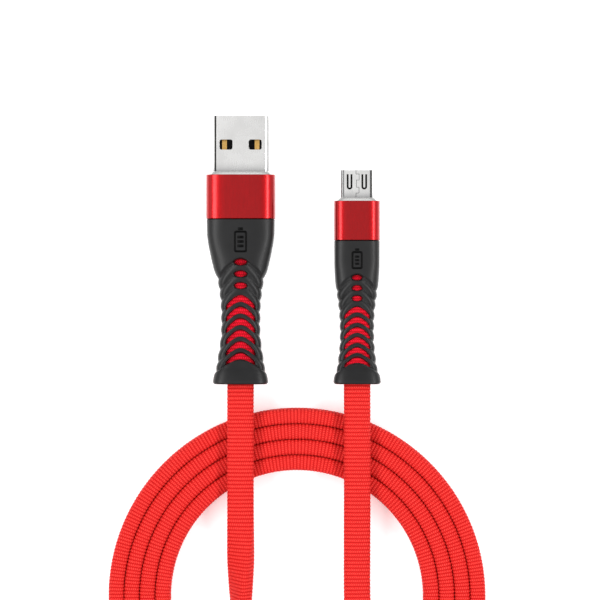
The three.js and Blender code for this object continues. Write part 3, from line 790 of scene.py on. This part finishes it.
def make_sleeve(plug, wall):
    """A square-sided tube: bevelled lips at both ends and a cut chamfer at the front."""
    front, back = plug.sleeve_y
    power = SLEEVE_POWER
    turn = even_turns(SLEEVE_COLUMNS, plug.half_width, plug.half_height, power)
    edge = SLEEVE_EDGE
    foot = front - CHAMFER_AXIAL
    stations = [  # (y, inset)
        (front - 1.0, wall), (front - edge, wall), (front, wall - edge),
        (front, CHAMFER_RADIAL + edge), (front - edge, CHAMFER_RADIAL),
        (foot, 0.03), (foot - edge, 0.005), (foot - CHAMFER_BLEND, 0),
    ]
    straight = back + SLEEVE_BACK_ROUND - front + CHAMFER_AXIAL + CHAMFER_BLEND
    for i in range(1, SLEEVE_ROWS):
        stations.append((foot - CHAMFER_BLEND + straight * i / SLEEVE_ROWS, 0))
    stations += [
        (back + SLEEVE_BACK_ROUND, 0), (back + 0.06, 0.02), (back + 0.01, 0.08), (back, 0.16),
        (back, wall - edge), (back + edge, wall), (back + 1.0, wall),
    ]
    rows = []
    for y, inset in stations:
        x, z = soft_section(turn, plug.half_width - inset, plug.half_height - inset, power)
        rows.append(np.stack([plug.x + x, np.full_like(x, y), plug.z + z], axis=1))
    faces = grid_faces(len(rows), len(turn), close_rows=True)
    sleeve = add_object(f"{plug.prefix}_aluminium_sleeve", np.vstack(rows), faces, sharp_degrees=38)
    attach(sleeve, BODY)
    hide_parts(f"{plug.prefix}_sleeve")
    return sleeve


# -------------------- shells, cut from folded sheet

def mm_prism(name, outline, axis, low, high):
    """A solid in millimetres from an outline. axis is "y" for an x-z outline, or "z" for an x-y one."""
    outline = np.array(outline, float)
    count = len(outline)
    rows = []
    for level in (low, high):
        column = np.full(count, level)
        across, up = outline[:, 0], outline[:, 1]
        rows.append(np.stack((across, column, up) if axis == "y" else (across, up, column), axis=1))
    faces = [tuple(range(count)), tuple(range(2 * count - 1, count - 1, -1))]
    for i in range(count):
        j = (i + 1) % count
        faces.append((i, count + i, count + j, j))
    mesh = bpy.data.meshes.new(name)
    mesh.from_pydata(np.vstack(rows).tolist(), [], faces)
    prism = bpy.data.objects.new(name, mesh)
    bpy.context.scene.collection.objects.link(prism)
    face_outwards(mesh)
    return prism


def face_outwards(mesh):
    work = bmesh.new()
    work.from_mesh(mesh)
    bmesh.ops.recalc_face_normals(work, faces=work.faces)
    work.to_mesh(mesh)
    work.free()


def bake_modifiers(thing):
    depsgraph = bpy.context.evaluated_depsgraph_get()
    mesh = bpy.data.meshes.new_from_object(thing.evaluated_get(depsgraph))
    thing.modifiers.clear()
    thing.data = mesh


def cut_away(body, cutters):
    for cutter in cutters:
        boolean = body.modifiers.new("cut", "BOOLEAN")
        boolean.operation = "DIFFERENCE"
        boolean.solver = "EXACT"
        boolean.object = cutter
    bake_modifiers(body)
    for cutter in cutters:
        bpy.data.objects.remove(cutter)


def soften_edges(body, width, segments):
    """Rounds the cut edges, keeps the flat faces flat, and goes from millimetres to metres."""
    degrees = 35  # a sharper turn than this between two faces is an edge
    shade(body, degrees)
    bevel = body.modifiers.new("soften", "BEVEL")
    bevel.width = width
    bevel.segments = segments
    bevel.limit_method = "ANGLE"
    bevel.angle_limit = math.radians(degrees)
    bevel.harden_normals = True
    bake_modifiers(body)
    body.data.transform(Matrix.Scale(MM, 4))


def rounded_outline(half_width, half_height, radius, steps=6):
    """A rectangle's outline with round corners, going round once."""
    points = []
    for quarter in range(4):
        sx, sy = ((1, 1), (-1, 1), (-1, -1), (1, -1))[quarter]
        for i in range(steps + 1):
            angle = math.pi / 2 * (quarter + i / steps)
            points.append((sx * (half_width - radius) + radius * math.cos(angle),
                           sy * (half_height - radius) + radius * math.sin(angle)))
    return points


def moved(outline, x, y):
    return [(px + x, py + y) for px, py in outline]


USB_A_WINDOW = (1.4, 1.08, 0.45)  # half width, half length and corner radius of its two windows
USB_A_WINDOW_ASIDE, USB_A_WINDOW_BACK = 3.13, 6.2  # mm from the plug's middle line and from its tip
USB_A_SEAM_STEP = 0.7  # mm by which its seam steps aside, over a stretch given from its tip
USB_A_SEAM_AHEAD, USB_A_SEAM_BEHIND = 3.4, 6.4


def make_usb_a_shell(plug):
    low, high = node_box("usb_a_shell")
    half_x, half_z = (high[0] - low[0]) / 2, (high[2] - low[2]) / 2
    sheet = 0.3
    corner = 0.85
    outside = moved(rounded_outline(half_x, half_z, corner), plug.x, plug.z)
    inside = moved(rounded_outline(half_x - sheet, half_z - sheet, corner - sheet), plug.x, plug.z)
    shell = mm_prism("usb_a_folded_shell", outside, "y", low[1], high[1])
    cutters = [mm_prism("cut", inside, "y", low[1] - 1, high[1] + 1)]
    window = rounded_outline(*USB_A_WINDOW)
    for side in (-1, 1):
        spot = moved(window, plug.x + side * USB_A_WINDOW_ASIDE, plug.tip_y - USB_A_WINDOW_BACK)
        cutters.append(mm_prism("cut", spot, "z", plug.z - 5, plug.z + 5))
    # The sheet's two edges meet in a stepped seam along the underside.
    x, step = plug.x, plug.x + USB_A_SEAM_STEP
    ahead, behind = plug.tip_y - USB_A_SEAM_AHEAD, plug.tip_y - USB_A_SEAM_BEHIND
    seam_line = [(x, high[1] + 1), (x, ahead), (step, ahead), (step, behind), (x, behind), (x, low[1] - 1)]
    seam = seam_outline(seam_line, half_line=0.03)
    cutters.append(mm_prism("cut", seam, "z", plug.z - 3, plug.z - 1))
    cut_away(shell, cutters)
    soften_edges(shell, width=0.07, segments=3)
    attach(shell, BODY)
    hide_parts("usb_a_shell")
    return shell


def seam_outline(corners, half_line):
    """A thin closed outline on both sides of a line whose stretches run along x or y in turn."""
    corners = [np.array(corner, float) for corner in corners]
    left, right = [], []
    for i, corner in enumerate(corners):
        before = corners[max(i - 1, 0)]
        after = corners[min(i + 1, len(corners) - 1)]
        ahead = np.sign(after - corner) if i < len(corners) - 1 else np.sign(corner - before)
        behind = np.sign(corner - before) if i else ahead
        shift = np.array([-ahead[1], ahead[0]]) + np.array([-behind[1], behind[0]])
        shift = np.clip(shift, -1, 1) * half_line
        left.append(tuple(corner + shift))
        right.append(tuple(corner - shift))
    return left + right[::-1]


def micro_b_section(inset, narrow, shoulder, half_x, half_z):
    """Flat on top with round upper corners, and lower corners cut away on a slant."""
    side = half_x - inset
    top = half_z - inset
    foot = narrow / 2 - inset * 0.7
    round_off = 0.5 - inset * 0.8
    points = [(foot, -top), (side, half_z - shoulder - 0.15)]
    for i in range(5):
        angle = math.pi / 2 * i / 4
        points.append((side + round_off * (math.cos(angle) - 1), top + round_off * (math.sin(angle) - 1)))
    return points + [(-x, z) for x, z in reversed(points)]


def slit_outline(x, front, length, radius, line):
    """A U-shaped slit open towards the front."""
    inner = radius - line
    arc = np.linspace(0, math.pi, 13)
    outer_arc = [(x - radius * math.cos(a), front - length - radius * math.sin(a)) for a in arc]
    inner_arc = [(x + inner * math.cos(a), front - length - inner * math.sin(a)) for a in arc]
    return ([(x - radius, front)] + outer_arc + [(x + radius, front), (x + inner, front)]
            + inner_arc + [(x - inner, front)])


MICRO_B_WINDOW = (0.42, 0.95, 0.15, 3)  # half width, half length, corner radius and steps round it
MICRO_B_WINDOW_ASIDE, MICRO_B_WINDOW_BACK = 2.25, 1.9  # mm from the plug's middle line and from its tip
SLIT_ASIDE, SLIT_BACK = 1.58, 0.9  # the same for the U slits
SLIT_LENGTH, SLIT_RADIUS, SLIT_LINE = 2.68, 0.61, 0.4
SLIT_LEFT, SEAM_LEFT = 0.04, 0.06  # mm of sheet left under the slits and under the seam
# The seam on top, as (x, y) from the middle of the tip.
MICRO_B_SEAM = [
    (-0.2, 0.5), (-0.2, -0.85), (0.48, -0.85), (0.48, -2.15), (-0.1, -2.15), (-0.1, -3.7),
    (0.45, -3.7), (0.45, -4.95), (-0.2, -4.95), (-0.2, -6.2),
]


def make_micro_b_shell(plug):
    low, high = node_box("micro_b_shell")
    half_x, half_z = (high[0] - low[0]) / 2, (high[2] - low[2]) / 2
    sheet, narrow, shoulder = 0.25, 5.3, 0.95
    tip = plug.tip_y
    under_sheet = plug.z + half_z - sheet
    outside = moved(micro_b_section(0, narrow, shoulder, half_x, half_z), plug.x, plug.z)
    inside = moved(micro_b_section(sheet, narrow, shoulder, half_x, half_z), plug.x, plug.z)
    shell = mm_prism("micro_b_folded_shell", outside, "y", low[1], high[1])
    cutters = [mm_prism("cut", inside, "y", low[1] - 1, high[1] + 1)]
    for side in (-1, 1):
        window_x = plug.x + side * MICRO_B_WINDOW_ASIDE
        window = moved(rounded_outline(*MICRO_B_WINDOW), window_x, tip - MICRO_B_WINDOW_BACK)
        cutters.append(mm_prism("cut", window, "z", plug.z - 2, plug.z - 0.5))
        slit_x = plug.x + side * SLIT_ASIDE
        slit = slit_outline(slit_x, tip - SLIT_BACK, SLIT_LENGTH, SLIT_RADIUS, SLIT_LINE)
        cutters.append(mm_prism("cut", slit, "z", under_sheet + SLIT_LEFT, plug.z + 2))
    seam = seam_outline([(plug.x + x, tip + y) for x, y in MICRO_B_SEAM], half_line=0.045)
    cutters.append(mm_prism("cut", seam, "z", under_sheet + SEAM_LEFT, plug.z + 2))
    cut_away(shell, cutters)
    soften_edges(shell, width=0.035, segments=2)
    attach(shell, BODY)
    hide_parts("micro_b_shell")
    return shell


SLIT_DEPTHS = (0.15, 0.24)  # mm under the top of the sheet: their floors lie between these


def paint_slit_shade(shell, shade_material):
    """Paints the floors of the U slits and the seam, which lie inside the sheet, near-black: painted shade
    for the slits' dark depth.
    """
    shell.data.materials.append(shade_material)
    top = max(vertex.co.z for vertex in shell.data.vertices)
    for face in shell.data.polygons:
        depth = top - face.center.z
        if face.normal.z > 0.9 and SLIT_DEPTHS[0] * MM < depth < SLIT_DEPTHS[1] * MM:
            face.material_index = 1


# -------------------- the marks on the boots

def on_boot(plug, x, s, proud):
    """A point on the boot's upper face, or a little above it."""
    a, b, power = boot_section(plug, s)
    z = b * (1 - np.abs(x / a) ** power) ** (1 / power) + proud
    return plug.bent(x, s, z)


def raised_shape(plug, outline, hole=None):
    """Rows for a low pad with a bevelled rim. With a hole it is a frame."""
    outline = np.array(outline)
    middle = outline.mean(axis=0)

    def loop(points, inset, proud):
        points = np.array(points)
        away = points - middle
        points = points - away / np.linalg.norm(away, axis=1)[:, None] * inset
        return on_boot(plug, points[:, 0], points[:, 1], proud)

    rows = [loop(outline, 0, -0.2), loop(outline, 0, 0.04), loop(outline, 0.05, 0.08)]
    if hole is not None:
        rows += [loop(hole, -0.05, 0.08), loop(hole, 0, 0.04), loop(hole, 0, -0.2)]
    return rows


MARK_BODY, MARK_CAP = 0.86, 0.14  # shares of its length


def make_mark(plug, front, length, width):
    """A battery outline with a cap and three bars, standing just proud of the boot."""
    points, faces = [], []
    centre = front + length / 2
    body_half = (width / 2, length / 2 * MARK_BODY)
    body_centre = centre + length / 2 * MARK_CAP
    line = 0.42  # mm, the outline's width

    def add(rows, closed):
        base = len(points)
        count = len(rows[0])
        for row in rows:
            points.extend(row.tolist())
        ring_faces = grid_faces(len(rows), count, close_rows=closed)
        if not closed:
            ring_faces.append(tuple((len(rows) - 1) * count + i for i in range(count)))
            ring_faces.append(tuple(reversed(range(count))))
        faces.extend(tuple(base + i for i in face) for face in ring_faces)

    frame_outline = moved(rounded_outline(*body_half, 0.45), 0, body_centre)
    frame_hole = moved(rounded_outline(body_half[0] - line, body_half[1] - line, 0.2), 0, body_centre)
    add(raised_shape(plug, frame_outline, frame_hole), True)
    cap = moved(rounded_outline(width * 0.2, length * 0.055, 0.12, 4), 0, front + length * 0.065)
    add(raised_shape(plug, cap), False)
    bar_gap = (body_half[1] - line) / 2
    for i in (-1, 0, 1):
        bar = rounded_outline(body_half[0] - line - 0.3, bar_gap * 0.3, 0.12, 4)
        add(raised_shape(plug, moved(bar, 0, body_centre + i * bar_gap)), False)
    mark = add_object(f"{plug.prefix}_battery_mark", points, faces, sharp_degrees=60)
    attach(mark, BODY)
    return mark


# -------------------- the whole cable

def wear(thing, material):
    thing.data.materials.clear()
    thing.data.materials.append(material)


def finish_nodes(names, material):
    """Gives carried-over CAD nodes a finish."""
    for name in names:
        for material_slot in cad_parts[name].material_slots:
            material_slot.material = material


ANODISED_RED = (0.445, 0.003, 0.006)


def make_plugs():
    rubber = rubber_finish("boot_rubber", (0.003, 0.003, 0.0033), (0.0065, 0.0065, 0.007), 0.34)
    gloss = rubber_finish("mark_black", (0.0008, 0.0008, 0.0008), (0.002, 0.002, 0.002), 0.06)
    # Painted light: the braid inside the boots is a brighter, more crimson copy of the cable's colours, lit
    # against the shade in the slots; its grooves and crests carry the same painted shade and highlight.
    moulded_braid_lit = braid_with_painted_shade("braid_moulded_lit", (0.35, 0.0, 0.004), (0.72, 0.0, 0.012), (1.0, 0.004, 0.035))
    # Each plug has its sleeve's wall, and its mark's front, length and width.
    for plug, wall, mark in ((USB_A, 0.8, (1.8, 5.4, 2.8)), (MICRO_B, 0.75, (1.7, 4.5, 2.4))):
        wear(make_boot(plug), rubber)
        wear(make_cable_end(plug), moulded_braid_lit)
        front = plug.sleeve_y[0] - CHAMFER_AXIAL
        wear(make_sleeve(plug, wall), anodised_finish(f"{plug.prefix}_anodised", front, ANODISED_RED))
        wear(make_mark(plug, *mark), gloss)
    # Painted reflections along the shells' folded edges, as (low x, high x, tone).
    bends = [(USB_A.x - 5.6, USB_A.x - 5.22, 0.01), (USB_A.x + 5.76, USB_A.x + 6.1, 0.3)]
    wear(make_usb_a_shell(USB_A), nickel_with_painted_reflections("nickel_usb_a", USB_A.sleeve_y[0], bends))
    bends = [(MICRO_B.x - 3.5, MICRO_B.x - 2.75, 0.2), (MICRO_B.x + 2.8, MICRO_B.x + 3.3, 0.06)]
    shell = make_micro_b_shell(MICRO_B)
    wear(shell, nickel_with_painted_reflections("nickel_micro_b", MICRO_B.sleeve_y[0], bends))
    # Painted shade: the slit and seam floors are coloured near-black.
    paint_slit_shade(shell, plastic_finish("slit_painted_shade", (0.001, 0.001, 0.001), (0.003, 0.003, 0.003), 0.6, 0.05))


def finish_inner_pieces():
    gold = metal_finish("gold", (0.72, 0.40, 0.10), (0.95, 0.62, 0.22), 0.25)
    steel = metal_finish("spring_steel", (0.5, 0.5, 0.51), (0.68, 0.68, 0.69), 0.3)
    tin = metal_finish("tinned_wire", (0.55, 0.55, 0.53), (0.75, 0.75, 0.73), 0.4)
    insulator = plastic_finish("insulator", (0.002, 0.002, 0.0025), (0.005, 0.005, 0.0055), 0.5, 0.12)
    mould = plastic_finish("mould", (0.012, 0.012, 0.013), (0.02, 0.02, 0.021), 0.5)
    finish_nodes([f"usb_a_contact_{i}" for i in range(1, 5)], gold)
    finish_nodes([f"micro_b_contact_{i}" for i in range(1, 6)], gold)
    finish_nodes(["micro_b_latch_left", "micro_b_latch_right"], steel)
    wire_colours = {
        "red": ((0.45, 0.01, 0.01), (0.6, 0.02, 0.02)),
        "white": ((0.7, 0.7, 0.68), (0.85, 0.85, 0.82)),
        "green": ((0.01, 0.22, 0.05), (0.02, 0.32, 0.08)),
        "black": ((0.006, 0.006, 0.006), (0.012, 0.012, 0.012)),
    }
    wires = {key: plastic_finish(f"wire_{key}", *tones) for key, tones in wire_colours.items()}
    for prefix in ("usb_a", "micro_b"):
        finish_nodes([f"{prefix}_insulator"], insulator)
        finish_nodes([f"{prefix}_inner_mould"], mould)
        finish_nodes([f"{prefix}_drain_wire"], tin)
        for key, material in wires.items():
            finish_nodes([f"{prefix}_wire_{key}"], material)


make_camera()
make_studio()
make_floor()
# The braid's colours for groove, thread and crest: painted shade in the grooves and a painted highlight on
# the crests.
wear(make_cord(), braid_with_painted_shade("braid", (0.42, 0.001, 0.001), (0.64, 0.006, 0.005), (0.9, 0.06, 0.048)))
make_plugs()
finish_inner_pieces()
